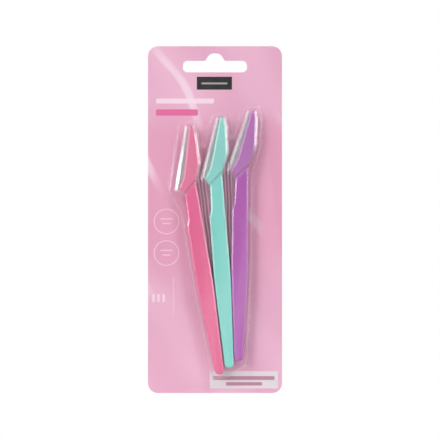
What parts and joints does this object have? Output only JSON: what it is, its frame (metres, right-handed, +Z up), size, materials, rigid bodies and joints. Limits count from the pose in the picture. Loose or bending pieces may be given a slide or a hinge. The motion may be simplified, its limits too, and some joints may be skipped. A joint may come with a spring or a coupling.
{
  "type": "carded blister pack of eyebrow razors",
  "caption": "Hanging card with a clear formed blister that holds slim capped eyebrow razors, each with a handle, a guarded steel blade and a slide-off cap.",
  "frame": {"origin": "middle of the hang slot, on the back face of the card", "axes": "+X to the right seen from the front, +Y out of the card's back, so the front faces -Y, +Z up as the pack hangs"},
  "size_m": [0.068, 0.0082, 0.176],
  "materials": {
    "board": "coated board with a soft satin varnish",
    "clear_sheet": "clear formed sheet, glossy",
    "cap_clear": "clear moulded plastic, glossy",
    "pink_plastic": "moulded, satin gloss",
    "mint_plastic": "moulded, satin gloss",
    "purple_plastic": "moulded, satin gloss",
    "blade_steel": "ground",
    "guard_steel": "satin"
  },
  "bodies": {
    "card": {"backing_card": "board"},
    "blister": {"blister": "clear_sheet"},
    "pink_razor": {"pink_handle": "pink_plastic", "pink_blade": "blade_steel", "pink_blade_guard": "guard_steel", "pink_blade_clamp": "pink_plastic"},
    "pink_cap": {"pink_cap": "cap_clear"},
    "mint_razor": {"mint_handle": "mint_plastic", "mint_blade": "blade_steel", "mint_blade_guard": "guard_steel", "mint_blade_clamp": "mint_plastic"},
    "mint_cap": {"mint_cap": "cap_clear"},
    "purple_razor": {"purple_handle": "purple_plastic", "purple_blade": "blade_steel", "purple_blade_guard": "guard_steel", "purple_blade_clamp": "purple_plastic"},
    "purple_cap": {"purple_cap": "cap_clear"}
  },
  "joints": [
    {"name": "blister_lift", "type": "slide", "parent": "card", "child": "blister", "axis": [0, -1, 0], "range_m": [0, 0.165]},
    {"name": "pink_razor_lift", "type": "slide", "parent": "card", "child": "pink_razor", "axis": [0, -1, 0], "range_m": [0, 0.025]},
    {"name": "pink_cap_slide", "type": "slide", "parent": "pink_razor", "child": "pink_cap", "axis": [0.1593, 0, 0.9872], "range_m": [0, 0.037]},
    {"name": "mint_razor_lift", "type": "slide", "parent": "card", "child": "mint_razor", "axis": [0, -1, 0], "range_m": [0, 0.025]},
    {"name": "mint_cap_slide", "type": "slide", "parent": "mint_razor", "child": "mint_cap", "axis": [0.2447, 0, 0.9696], "range_m": [0, 0.037]},
    {"name": "purple_razor_lift", "type": "slide", "parent": "card", "child": "purple_razor", "axis": [0, -1, 0], "range_m": [0, 0.025]},
    {"name": "purple_cap_slide", "type": "slide", "parent": "purple_razor", "child": "purple_cap", "axis": [0.3283, 0, 0.9446], "range_m": [0, 0.037]}
  ],
  "couplings": [
    {"joint": "pink_razor_lift", "follows": "blister_lift", "ratio": 0.15},
    {"joint": "pink_cap_slide", "follows": "blister_lift", "ratio": 0.22},
    {"joint": "mint_razor_lift", "follows": "blister_lift", "ratio": 0.15},
    {"joint": "mint_cap_slide", "follows": "blister_lift", "ratio": 0.22},
    {"joint": "purple_razor_lift", "follows": "blister_lift", "ratio": 0.15},
    {"joint": "purple_cap_slide", "follows": "blister_lift", "ratio": 0.22}
  ]
}
